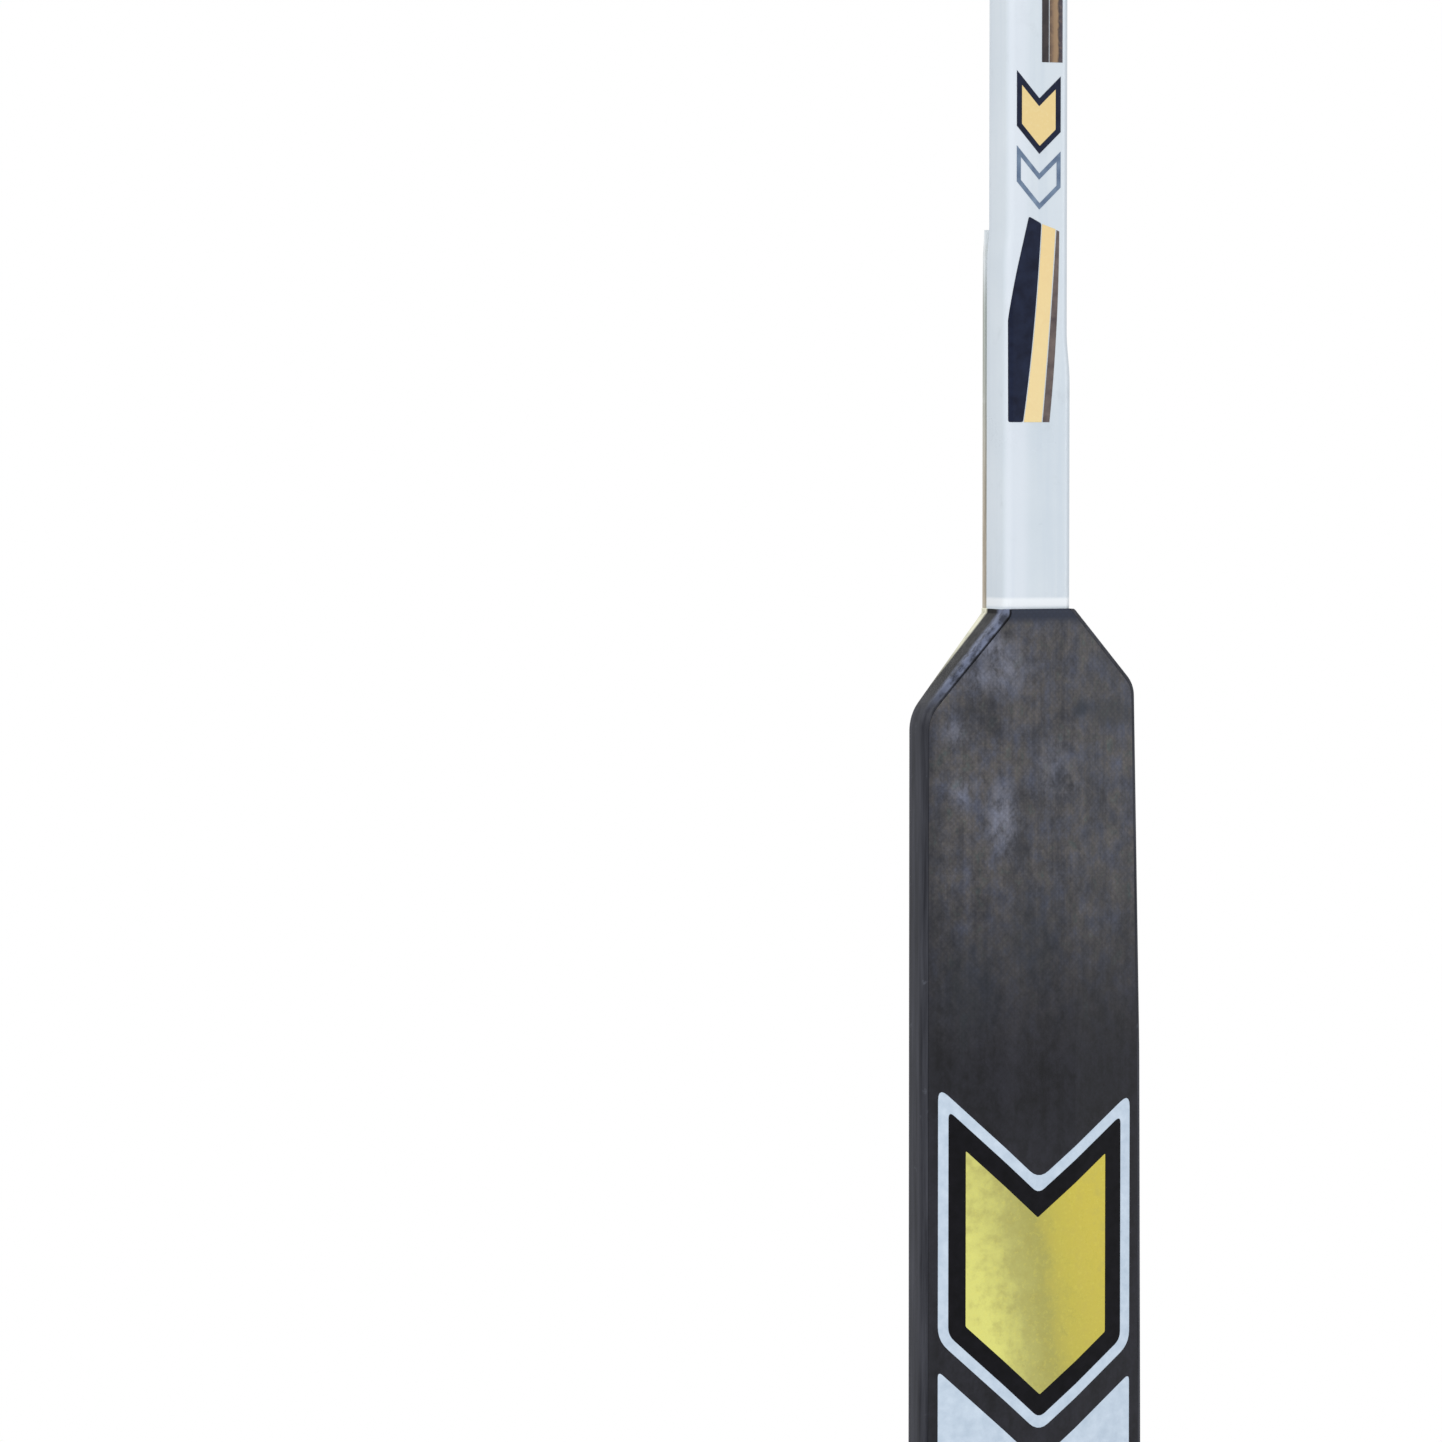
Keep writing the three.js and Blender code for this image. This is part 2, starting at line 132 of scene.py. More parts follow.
# corners of the outline, counter-clockwise from the shaft's left side: place, radius, steps
CORNERS = [
    ((-CREASE_L, TOP), 0.6, 4), ((-CREASE_L, TOP - 1.6), 1, 4), ((LEFT, TOP - 38), 16, 10),
    ((LEFT, HEEL_TOP_Z), 38, 14), (blade_point(LENGTH, TOE_HEIGHT), 27, 12), (blade_point(LENGTH, 0), 24, 12),
    ((RIGHT, 0), 36, 14), ((RIGHT, TOP - 300), 900, 2), ((RIGHT - 0.8, TOP - 160), 900, 2),
    ((40.5, TOP - 27.8), 11, 8), ((CREASE_R, TOP), 2.2, 5)]
EDGE_STEP = 7.0                  # between samples on the straight parts


def outline(inset):
    """Samples of the outline, moved inwards but for its top edge; every inset gives the same number."""
    n = len(CORNERS)
    lines = []
    for i in range(n):
        p, q = Vector(CORNERS[i][0]), Vector(CORNERS[(i + 1) % n][0])
        t = (q - p).normalized()
        d = 0.0 if i == n - 1 else inset
        lines.append((p + Vector((-t.y, t.x)) * d, t))
    out = []
    for i in range(n):
        (p, s), (q, t) = lines[i - 1], lines[i]
        turn = math.atan2(s.x * t.y - s.y * t.x, s.dot(t))
        along = ((q - p).x * t.y - (q - p).y * t.x) / (s.x * t.y - s.y * t.x)
        corner = p + s * along
        r = max(SMALLEST_RADIUS, CORNERS[i][1] - inset) if turn > 0 else CORNERS[i][1] + inset
        side = math.copysign(1, turn)
        start = corner - s * r * math.tan(abs(turn) / 2)
        centre = start + Vector((-s.y, s.x)) * side * r
        arm = start - centre
        arc = []
        for k in range(CORNERS[i][2] + 1):
            w = turn * k / CORNERS[i][2]
            arc.append(centre + Vector((arm.x * math.cos(w) - arm.y * math.sin(w),
                                        arm.x * math.sin(w) + arm.y * math.cos(w))))
        if out:
            out += between(out[-1], arc[0], i - 1)
        out += arc
    return out + between(out[-1], out[0], n - 1)


def between(p, q, i):
    """Samples between p and q, as many as side i of the outline has at any inset."""
    a, b = Vector(CORNERS[i][0]), Vector(CORNERS[(i + 1) % len(CORNERS)][0])
    n = max(1, round((b - a).length / EDGE_STEP))
    return [p.lerp(q, k / n) for k in range(1, n)]


def cut(points, keep):
    """The polygon's part where keep(point) is positive (a straight cut)."""
    out = []
    for p, q in zip(points, points[1:] + points[:1]):
        a, b = keep(p), keep(q)
        if a >= 0:
            out.append(p)
        if a * b < 0:
            out.append(p.lerp(q, a / (a - b)))
    return out


# ---- mesh helpers ----------------------------------------------------------------------------------
MERGE = 2e-6                     # metres; points closer than this become one
PLANE_MARGIN = 0.05              # no dividing plane comes closer than this to a sheet's end


def make(name, verts, faces, materials, replaces=(), smooth_angle=32, pick=None):
    """An object that rides on the stick's one body. pick(face) chooses among several materials."""
    mesh = bpy.data.meshes.new(name)
    mesh.from_pydata([(x * MM, y * MM, (z - TOP) * MM) for x, y, z in verts], [], faces)
    bm = bmesh.new()
    bm.from_mesh(mesh)
    bmesh.ops.remove_doubles(bm, verts=bm.verts, dist=MERGE)
    bmesh.ops.dissolve_degenerate(bm, edges=bm.edges, dist=MERGE)
    bmesh.ops.recalc_face_normals(bm, faces=bm.faces)
    limit = math.radians(smooth_angle)
    for e in bm.edges:
        e.smooth = len(e.link_faces) == 2 and e.calc_face_angle(0) < limit
    for f in bm.faces:
        f.smooth = True
        if pick:
            f.material_index = pick(f)
    bm.to_mesh(mesh)
    bm.free()
    ob = bpy.data.objects.new(name, mesh)
    bpy.context.scene.collection.objects.link(ob)
    for m in materials:
        mesh.materials.append(m)
    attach(ob, "root")
    if replaces:
        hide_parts(*replaces)
    return ob


def tube(rings):
    """Vertices and faces through rings of equal length; the two ends are closed with flat faces."""
    n = len(rings[0])
    verts = [p for ring in rings for p in ring]
    faces = []
    for i in range(len(rings) - 1):
        for j in range(n):
            k = (j + 1) % n
            faces.append((i * n + j, i * n + k, (i + 1) * n + k, (i + 1) * n + j))
    faces.append(tuple(range(n)))
    faces.append(tuple(range(len(verts) - n, len(verts))))
    return verts, faces


def grid_lines():
    """The planes every draped sheet is divided at, so that sheets on top of each other match."""
    xs = [k * 4.0 for k in range(-12, 12)] + [k * 12.0 for k in range(-29, -11)]  # paddle, then blade
    for crease in (-CREASE_L, CREASE_R):
        xs = [x for x in xs if abs(x - crease) > 3.2]
        xs += [crease + d for d in (-2.6, -1.5, -0.8, -0.3, 0.1, 0.6, 1.3, 2.4)]
    zs = [k * 8.0 for k in range(-21, 83)]
    return sorted(xs), sorted(zs)


XS, ZS = grid_lines()


def draped(name, points, surface, outer, inner, materials, replaces=(), rim=0.0, sign=-1,
           extra_z=(), extra_x=()):
    """A sheet between two depths under a surface of the stick, cut to a flat polygon.

    Depths count inwards from surface(x, z); sign is -1 for the front and 1 for the back.
    rim rounds the sheet's top edge."""
    bm = bmesh.new()
    bm.faces.new([bm.verts.new((p.x, 0, p.y)) for p in points])
    lo_x, hi_x = min(p.x for p in points), max(p.x for p in points)
    lo_z, hi_z = min(p.y for p in points), max(p.y for p in points)
    planes = [((x, 0, 0), (1, 0, 0)) for x in XS + list(extra_x)
              if lo_x + PLANE_MARGIN < x < hi_x - PLANE_MARGIN]
    planes += [((0, 0, z), (0, 0, 1)) for z in ZS + list(extra_z)
               if lo_z + PLANE_MARGIN < z < hi_z - PLANE_MARGIN]
    for co, no in planes:
        bmesh.ops.bisect_plane(bm, geom=bm.verts[:] + bm.edges[:] + bm.faces[:], dist=1e-4,
                               plane_co=co, plane_no=no)
    bm.verts.index_update()
    flat = [(v.co.x, v.co.z) for v in bm.verts]
    faces = [tuple(v.index for v in f.verts) for f in bm.faces]
    borders = [(e.verts[0].index, e.verts[1].index) for e in bm.edges if len(e.link_faces) == 1]
    bm.free()

    def depth(z):
        return outer + rim * max(0.0, 1 - (TOP - z) / (2 * rim)) ** 2 if rim else outer

    n = len(flat)
    verts = [(x, surface(x, z) - sign * depth(z), z) for x, z in flat]
    verts += [(x, surface(x, z) - sign * inner, z) for x, z in flat]
    all_faces = faces + [tuple(i + n for i in reversed(f)) for f in faces]
    all_faces += [(a, b, b + n, a + n) for a, b in borders]
    return make(name, verts, all_faces, materials, replaces)


# ---- materials -------------------------------------------------------------------------------------
class Shader:
    """A node material under construction; sockets are passed between its methods."""

    def __init__(self, name, **inputs):
        self.mat = bpy.data.materials.new(name)
        self.mat.use_nodes = True
        self.tree = self.mat.node_tree
        self.bsdf = self.tree.nodes["Principled BSDF"]
        self.place = self.node("ShaderNodeTexCoord").outputs["Object"]
        self.last_bump = None
        for key, value in inputs.items():
            self.bsdf.inputs[key.replace("_", " ")].default_value = value

    def node(self, kind, **settings):
        n = self.tree.nodes.new(kind)
        for key, value in settings.items():
            setattr(n, key, value)
        return n

    def feed(self, socket, value):
        if isinstance(value, bpy.types.NodeSocket):
            self.tree.links.new(value, socket)
        elif isinstance(value, tuple) and len(value) == 3 and socket.type == "RGBA":
            socket.default_value = (*value, 1)
        else:
            socket.default_value = value

    def scaled(self, sx, sy, sz, turn=0.0):
        """The place turned about Y, then scaled: one Mapping node would scale it first."""
        place = self.place
        if turn:
            t = self.node("ShaderNodeMapping")
            self.feed(t.inputs["Vector"], place)
            t.inputs["Rotation"].default_value = (0, turn, 0)
            place = t.outputs["Vector"]
        n = self.node("ShaderNodeMapping")
        self.feed(n.inputs["Vector"], place)
        n.inputs["Scale"].default_value = (sx, sy, sz)
        return n.outputs["Vector"]

    def noise(self, vector, scale, detail=4, rough=0.55, distort=0.0):
        n = self.node("ShaderNodeTexNoise")
        self.feed(n.inputs["Vector"], vector)
        n.inputs["Scale"].default_value = scale
        n.inputs["Detail"].default_value = detail
        n.inputs["Roughness"].default_value = rough
        n.inputs["Distortion"].default_value = distort
        return n.outputs["Fac"]

    def axis(self, which, low, high):
        """0 to 1 as the place goes from low to high, in millimetres, along x, y or z."""
        s = self.node("ShaderNodeSeparateXYZ")
        self.feed(s.inputs[0], self.place)
        return self.span(s.outputs["XYZ".index(which.upper())], low * MM, high * MM)

    def facing_back(self):
        """The surface direction's part along +Y: -1 on the front, 0 on the sides, 1 on the back."""
        n = self.node("ShaderNodeSeparateXYZ")
        self.feed(n.inputs[0], self.node("ShaderNodeNewGeometry").outputs["Normal"])
        return n.outputs["Y"]

    def near(self, x, z, inner, outer, stretch=1.0):
        """1 within inner millimetres of the place (x, z) on the front or back, 0 beyond outer."""
        n = self.node("ShaderNodeVectorMath", operation="DISTANCE")
        self.feed(n.inputs[0], self.scaled(1, 0, 1 / stretch))
        n.inputs[1].default_value = (x * MM, 0, z * MM / stretch)
        return self.span(n.outputs["Value"], outer * MM, inner * MM)

    def all_of(self, *factors):
        out = factors[0]
        for f in factors[1:]:
            out = self.math("MULTIPLY", out, f)
        return out

    def span(self, value, low, high, to_low=0.0, to_high=1.0, kind="SMOOTHSTEP"):
        n = self.node("ShaderNodeMapRange", interpolation_type=kind)
        self.feed(n.inputs["Value"], value)
        for key, v in (("From Min", low), ("From Max", high), ("To Min", to_low), ("To Max", to_high)):
            n.inputs[key].default_value = v
        return n.outputs["Result"]

    def math(self, op, a, b=0.0):
        n = self.node("ShaderNodeMath", operation=op)
        self.feed(n.inputs[0], a)
        self.feed(n.inputs[1], b)
        return n.outputs[0]

    def ramp(self, fac, *stops):
        n = self.node("ShaderNodeValToRGB")
        self.feed(n.inputs["Fac"], fac)
        els = n.color_ramp.elements
        for k, (at, colour) in enumerate(stops):
            e = els[k] if k < 2 else els.new(at)
            e.position = at
            e.color = (*colour, 1)
        return n.outputs["Color"]

    def mix(self, fac, a, b):
        n = self.node("ShaderNodeMix", data_type="RGBA")
        self.feed(n.inputs["Factor"], fac)
        self.feed(n.inputs[6], a)
        self.feed(n.inputs[7], b)
        return n.outputs[2]

    def bump(self, height, depth_mm, strength):
        n = self.node("ShaderNodeBump")
        n.inputs["Strength"].default_value = strength
        n.inputs["Distance"].default_value = depth_mm * MM
        self.feed(n.inputs["Height"], height)
        if self.last_bump is not None:
            self.feed(n.inputs["Normal"], self.last_bump)
        self.last_bump = n.outputs["Normal"]

    def done(self, colour, rough):
        self.feed(self.bsdf.inputs["Base Color"], colour)
        self.feed(self.bsdf.inputs["Roughness"], rough)
        if self.last_bump is not None:
            self.feed(self.bsdf.inputs["Normal"], self.last_bump)
        return self.mat


def srgb(r, g, b):
    """A linear colour from its 8-bit sRGB values."""
    return tuple(c / 255 / 12.92 if c <= 10 else ((c / 255 + 0.055) / 1.055) ** 2.4 for c in (r, g, b))


def white_paint():
    s = Shader("gloss_white_paint", Coat_Weight=0.35, Coat_Roughness=0.12, Specular_IOR_Level=0.4)
    cloud = s.noise(s.place, 22, 5)
    drawn = s.noise(s.scaled(260, 260, 7), 1, 3)
    grime = s.span(s.noise(s.place, 75, 6, 0.65), 0.58, 0.74)
    colour = s.ramp(cloud, (0.3, srgb(207, 217, 225)), (0.7, srgb(217, 225, 231)))
    colour = s.mix(s.span(drawn, 0.45, 0.75, 0, 0.35), colour, srgb(196, 208, 220))
    colour = s.mix(s.math("MULTIPLY", grime, 0.22), colour, srgb(172, 180, 186))
    # painted highlight: brighter along the left half of the face, and in a bright line just over the paddle's
    # top edge
    thick = s.all_of(s.axis("x", -2, -7), s.axis("y", -7, -9), 0.55)
    colour = s.mix(thick, colour, srgb(226, 232, 240))
    # painted highlight: a bright line just over the paddle's top edge
    top_edge_highlight = s.all_of(s.axis("z", 4.6, 3.2), s.axis("z", 0.2, 1.4), 0.85)
    colour = s.mix(top_edge_highlight, colour, srgb(242, 246, 249))
    s.bump(s.noise(s.place, 420, 2), 0.02, 0.5)
    s.bump(drawn, 0.03, 0.3)
    return s.done(colour, s.span(cloud, 0.3, 0.7, 0.26, 0.4))


# patches on the paddle's front: x, z, full within, gone beyond, stretch along z, strength
# painted sheen: pale patches where the light glances off the upper paddle, mottled at their edges
SHEEN_PATCHES = ((-13, -22, 0, 12, 1.3, 0.5), (-24, -25, 0, 10, 0.8, 0.45), (-20, -13, 0, 9, 1.0, 0.5),
          (-30, -66, 0, 7, 1.4, 0.5), (-15, -75, 1, 9, 2.2, 0.55), (-33, -44, 0, 7, 1.3, 0.4),
          (6, -58, 0, 11, 1.6, 0.25))
STAINED = ((17, -36, 1, 5, 1, 0.7), (30, -38, 4, 12, 0.6, 0.5), (-2, -118, 3, 16, 1.6, 0.35),
           (-26, -135, 3, 18, 1.5, 0.35))
SHADED_EDGES = ((-42.5, -38.5), (43.5, 39.0))  # painted shade: x where the paddle's edges are shaded darkest, and where the shade ends


def graphite(name, lay=0.0):
    """Dark laminate: blotches, streaks, a faint diagonal weave, pale patches of painted sheen, stained
    patches, and painted reflection and shade.

    lay turns the fibres about Y from upright, for the blade, which hasn't the paddle's painted edge shade."""
    s = Shader(name, Coat_Weight=0.12, Coat_Roughness=0.3, Specular_IOR_Level=0.28)
    blotch = s.noise(s.place, 55, 6, 0.66, 0.5)
    mottle = s.noise(s.scaled(270, 270, 170, lay), 1, 6, 0.7, 0.3)
    streak = s.noise(s.scaled(330, 330, 18, lay), 1, 5, 0.6)
    broad = s.noise(s.scaled(75, 75, 8, lay), 1, 4, 0.55)
    fleck = s.noise(s.place, 620, 3, 0.7)
    tint = s.ramp(s.noise(s.scaled(190, 190, 120), 1, 5, 0.65),
                  (0.34, srgb(86, 90, 106)), (0.46, srgb(94, 94, 101)),
                  (0.58, srgb(101, 96, 93)), (0.7, srgb(88, 98, 96)))
    shade = s.math("MULTIPLY", blotch, 0.26)
    for part, weight in ((mottle, 0.3), (streak, 0.16), (broad, 0.16), (fleck, 0.12)):
        shade = s.math("ADD", shade, s.math("MULTIPLY", part, weight))
    light = s.mix(s.span(shade, 0.36, 0.64), srgb(46, 47, 53), tint)
    light = s.mix(s.span(shade, 0.56, 0.66, 0, 0.5), light, srgb(128, 130, 142))
    # painted reflection: brighter near the shaft, where the gloss mirrors the light from above, fading darker
    # further down
    dark_below_reflection = s.mix(s.span(shade, 0.38, 0.64), srgb(8, 8, 13), srgb(38, 38, 47))
    colour = s.mix(s.axis("z", -172, -78), dark_below_reflection, light)
    # painted sheen in pale patches, then stained dark; these lie on the front only
    face = s.axis("y", -4, -6)
    rough_edge = s.span(mottle, 0.3, 0.62, 0.15, 1.0)
    for x, z, inner, outer, stretch, amount in SHEEN_PATCHES:
        colour = s.mix(s.all_of(s.near(x, z, inner, outer, stretch), face, rough_edge, amount), colour,
                       srgb(136, 141, 160))
    for x, z, inner, outer, stretch, amount in STAINED:
        colour = s.mix(s.all_of(s.near(x, z, inner, outer, stretch), face, amount), colour, srgb(30, 38, 48))
    # painted shade darkening the paddle's two edges
    for darkest, end in () if lay else SHADED_EDGES:
        colour = s.mix(s.math("MULTIPLY", s.axis("x", end, darkest), 0.45), colour, srgb(34, 35, 42))
    # painted shade: a dark bluish band along the paddle's top edge
    lip = s.math("MULTIPLY", s.axis("z", -6.5, -2.5), 0.95)
    colour = s.mix(lip, colour, srgb(38, 45, 62))
    weave = None
    for turn in (45, -45):
        wave = s.node("ShaderNodeTexWave", wave_type="BANDS", bands_direction="X")
        s.feed(wave.inputs["Vector"], s.scaled(1, 1, 1, math.radians(turn)))
        wave.inputs["Scale"].default_value = 190
        weave = s.math("MAXIMUM", weave, wave.outputs["Fac"]) if weave else wave.outputs["Fac"]
    colour = s.mix(s.span(weave, 0.2, 1.0, 0.0, 0.14), colour, srgb(20, 21, 24))
    s.bump(weave, 0.03, 0.3)
    s.bump(streak, 0.05, 0.35)
    s.bump(fleck, 0.03, 0.3)
    return s.done(colour, s.span(shade, 0.38, 0.66, 0.4, 0.6))


def rail_edge():
    """The rails' dark laminate; the paddle's left shoulder is bare at the back and has a painted highlight in
    front.
    """
    s = Shader("edge_laminate", Coat_Weight=0.02, Coat_Roughness=0.3, Specular_IOR_Level=0.12)
    streak = s.noise(s.scaled(400, 400, 22), 1, 5, 0.6)
    fine = s.noise(s.place, 260, 5, 0.65)
    chip = s.span(s.noise(s.place, 120, 6, 0.7), 0.6, 0.72)
    colour = s.ramp(streak, (0.3, srgb(34, 35, 41)), (0.75, srgb(72, 73, 80)))
    colour = s.mix(s.math("MULTIPLY", chip, 0.35), colour, srgb(112, 116, 126))
    shoulder = s.all_of(s.axis("x", 0, -8), s.axis("z", -38, -24))
    colour = s.mix(s.math("MULTIPLY", shoulder, 0.95), colour, srgb(8, 8, 10))
    # painted highlight: a pale lavender streak on the front of the left shoulder, where the light glances off
    shoulder_highlight = s.all_of(shoulder, s.axis("y", -1.5, -5), s.span(s.facing_back(), -0.97, -0.75),
                        s.span(fine, 0.34, 0.6, 0.25, 1.0))
    colour = s.mix(s.math("MULTIPLY", shoulder_highlight, 0.8), colour, srgb(120, 128, 152))
    bare = s.all_of(shoulder, s.axis("y", 5.0, 7.0), s.axis("z", -34, -8),
                    s.span(s.facing_back(), 0.8, 0.5), s.span(fine, 0.25, 0.5, 0.6, 1.0))
    colour = s.mix(bare, colour, srgb(226, 224, 200))
    s.bump(streak, 0.05, 0.4)
    s.bump(fine, 0.05, 0.3)
    return s.done(colour, s.span(streak, 0.3, 0.7, 0.38, 0.52))


def sole_edge():
    s = Shader("sole_laminate", Coat_Weight=0.1, Coat_Roughness=0.35, Specular_IOR_Level=0.35)
    grain = s.noise(s.scaled(16, 300, 300, LIE), 1, 5, 0.65)
    scuff = s.span(s.noise(s.scaled(25, 200, 120), 1, 6, 0.7), 0.54, 0.68)
    colour = s.ramp(grain, (0.3, srgb(30, 31, 35)), (0.7, srgb(62, 62, 64)))
    colour = s.mix(s.math("MULTIPLY", scuff, 0.5), colour, srgb(112, 110, 106))
    s.bump(grain, 0.06, 0.5)
    s.bump(scuff, 0.05, 0.5)
    return s.done(colour, s.span(grain, 0.3, 0.7, 0.45, 0.65))


def wood(name, light, dark, ring=260.0):
    s = Shader(name, Specular_IOR_Level=0.3)
    figure = s.noise(s.scaled(ring, ring * 0.4, 6), 1, 5, 0.6, 0.5)
    pores = s.span(s.noise(s.scaled(1500, 1500, 40), 1, 3, 0.6), 0.56, 0.7)
    colour = s.ramp(figure, (0.3, light), (0.7, dark))
    colour = s.mix(s.math("MULTIPLY", pores, 0.45), colour, tuple(c * 0.45 for c in dark))
    s.bump(figure, 0.05, 0.4)
    s.bump(pores, -0.05, 0.5)
    return s.done(colour, s.span(figure, 0.3, 0.7, 0.5, 0.68))


def raw_edge():
    """The veneer's cut edge: greenish grey up the shaft, turning tan lower down, rough and mottled."""
    s = Shader("raw_veneer_edge", Specular_IOR_Level=0.25)
    ply = s.noise(s.scaled(900, 900, 26), 1, 5, 0.65)
    low = s.axis("z", 105, 20)
    colour = s.mix(low, srgb(178, 184, 178), srgb(192, 181, 164))
    colour = s.mix(s.span(ply, 0.4, 0.72, 0, 0.7), colour, srgb(140, 132, 116))
    colour = s.mix(s.axis("z", 104, 132), colour, srgb(224, 228, 230))
    blot = s.span(s.noise(s.place, 90, 5, 0.6), 0.55, 0.7)
    colour = s.mix(s.math("MULTIPLY", blot, 0.4), colour, srgb(206, 208, 204))
    s.bump(ply, 0.1, 0.6)
    return s.done(colour, s.span(ply, 0.3, 0.7, 0.55, 0.75))


def speckled(name, light, dark, scale, depth, rough):
    s = Shader(name, Specular_IOR_Level=0.3)
    cells = s.node("ShaderNodeTexVoronoi")
    s.feed(cells.inputs["Vector"], s.place)
    cells.inputs["Scale"].default_value = scale
    cell = cells.outputs["Distance"]
    patch = s.noise(s.place, 40, 4)
    colour = s.ramp(s.math("ADD", s.math("MULTIPLY", cell, 0.6), s.math("MULTIPLY", patch, 0.5)),
                    (0.25, light), (0.75, dark))
    s.bump(cell, depth, 0.6)
    return s.done(colour, s.span(patch, 0.3, 0.7, rough - 0.06, rough + 0.06))


def ink(name, low, high, across=None, rough=0.34, gloss=1.0, slant=None):
    """Printed ink: two shades mottled together, or a run of colours across or up the print.

    across is the run's axis, its two ends and its colours; slant is two heights, and how much of the run
    the colours move by between them."""
    s = Shader(name, Coat_Weight=0.3 * gloss, Coat_Roughness=0.14, Specular_IOR_Level=0.4 * gloss)
    mottle = s.noise(s.place, 240, 5, 0.6)
    grain = s.noise(s.place, 900, 2)
    if across:
        which, a, b, stops = across
        place = s.axis(which, a, b)
        place = s.math("ADD", place, s.span(mottle, 0.3, 0.7, -0.09, 0.09, "LINEAR"))
        if slant:
            low_z, high_z, shift = slant
            place = s.math("ADD", place, s.span(s.axis("z", low_z, high_z), 0, 1, -shift, shift, "LINEAR"))
        colour = s.ramp(place, *stops)
        colour = s.mix(s.span(mottle, 0.45, 0.75, 0, 0.25), colour, low)
    else:
        colour = s.ramp(mottle, (0.3, low), (0.7, high))
    colour = s.mix(s.span(grain, 0.5, 0.8, 0, 0.25), colour, high)
    s.bump(grain, 0.01, 0.3)
    return s.done(colour, s.span(mottle, 0.3, 0.7, rough - 0.05, rough + 0.07))


PAINT, RAIL, SOLE, RAW = white_paint(), rail_edge(), sole_edge(), raw_edge()
GRAPHITE = graphite("graphite_laminate")
BLADE_GRAPHITE = graphite("blade_graphite_laminate", LIE - math.pi / 2)
NAVY = ink("navy_ink", srgb(8, 15, 38), srgb(22, 32, 58), gloss=0.45)
STRIPE = ink("pale_gold_ink", srgb(232, 205, 150), srgb(246, 228, 178),
             across=("z", 60, 200, [(0.0, srgb(240, 216, 158)), (0.5, srgb(238, 210, 150)),
                                    (1.0, srgb(232, 206, 140))]))
DUSK = ink("dark_brown_ink", srgb(34, 28, 32), srgb(58, 48, 48))
TOP_STRIPE = ink("bronze_stripe_ink", srgb(120, 98, 76), srgb(160, 132, 100),
                 across=("x", 3.8, 9.4, [(0.0, srgb(96, 76, 62)), (0.3, srgb(150, 122, 92)),
                                         (0.62, srgb(156, 128, 96)), (0.8, srgb(52, 44, 48)),
                                         (1.0, srgb(70, 64, 76))]))
SLATE = ink("slate_ink", srgb(84, 104, 132), srgb(120, 140, 164))
BRONZE = ink("bronze_ink", srgb(74, 62, 64), srgb(112, 98, 92))
SILVER = ink("silver_blue_ink", srgb(186, 202, 218), srgb(206, 220, 234))
BLACK = ink("black_ink", srgb(6, 6, 9), srgb(16, 15, 21), gloss=0.3)
GOLD = ink("gold_ink", srgb(170, 160, 84), srgb(226, 216, 96),
           across=("x", -30, 30, [(0.0, srgb(222, 220, 120)), (0.28, srgb(184, 180, 100)),
                                  (0.52, srgb(172, 166, 84)), (0.75, srgb(196, 184, 74)),
                                  (1.0, srgb(206, 190, 70))]), rough=0.3, slant=(-290, -195, 0.13))

# ---- shaft -----------------------------------------------------------------------------------------
# heights in this section count from the paddle's top edge
SHAFT_W, SHAFT_T, SHAFT_R = 24.5, 18.5, 3.0
SHAFT_TOP, SHAFT_FOOT = 840.0, -600.85
SHAFT_WALL = 1
TOP_ROUND, TOP_INSET = 0.8, 0.35             # the sleeve's rounded top end
SWELL_L, SWELL_R = (0.9, 137, 11), (1.2, 100, 18)  # amount, height where it starts, and its run
DOUBLER_L, DOUBLER_R, DOUBLER_FRONT = -12.95, 12.25, 9.55
DOUBLER_TOP, DOUBLER_FEATHER = 137, 9        # its top end, and the length that thins towards it
DOUBLER_T, DOUBLER_TIP_T = 1.7, 0.5
DOUBLER_MARGIN = 0.1                         # keeps the wave of its edge inside the CAD's


def shaft_edges(z):
    """The painted sleeve's left and right sides, which swell a little towards the paddle."""
    (a, start_a, run_a), (b, start_b, run_b) = SWELL_L, SWELL_R
    return -SHAFT_W / 2 - a * smooth((start_a - z) / run_a), SHAFT_W / 2 + b * smooth((start_b - z) / run_b)


def rounded(left, right, low, high, r, steps=7):
    """A ring round a rectangle with rounded corners."""
    ring = []
    for cx, cy, k in ((right - r, high - r, 0), (left + r, high - r, 1),
                      (left + r, low + r, 2), (right - r, low + r, 3)):
        for j in range(steps + 1):
            w = (k + j / steps) * math.pi / 2
            ring.append((cx + r * math.cos(w), cy + r * math.sin(w)))
    return ring


def shaft_sleeve():
    """The painted sleeve: up the outside, over the top end and down the inside."""
    swell_rows = [k * 3.0 for k in range(20, 50)]
    rows = sorted({SHAFT_FOOT, -300, 0, *swell_rows, 200, 400, 600, SHAFT_TOP - TOP_ROUND, SHAFT_TOP})
    rings = []
    for z in rows:
        left, right = shaft_edges(z)
        inset = TOP_INSET if z == SHAFT_TOP else 0.0
        rings.append([(x, y, z + TOP) for x, y in rounded(left + inset, right - inset, -SHAFT_T / 2 + inset,
                                                          SHAFT_T / 2 - inset, SHAFT_R - inset)])
    inner = rounded(-SHAFT_W / 2 + SHAFT_WALL, SHAFT_W / 2 - SHAFT_WALL,
                    -SHAFT_T / 2 + SHAFT_WALL, SHAFT_T / 2 - SHAFT_WALL, SHAFT_R - SHAFT_WALL)
    rings += [[(x, y, z + TOP) for x, y in inner] for z in (SHAFT_TOP, SHAFT_FOOT)]
    n = len(inner)
    verts = [p for ring in rings for p in ring]
    faces = []
    for i in range(len(rings)):
        for j in range(n):
            k, m = (j + 1) % n, (i + 1) % len(rings)
            faces.append((i * n + j, i * n + k, m * n + k, m * n + j))
    make("shaft_sleeve", verts, faces, [PAINT], ["shaft_wrap"])


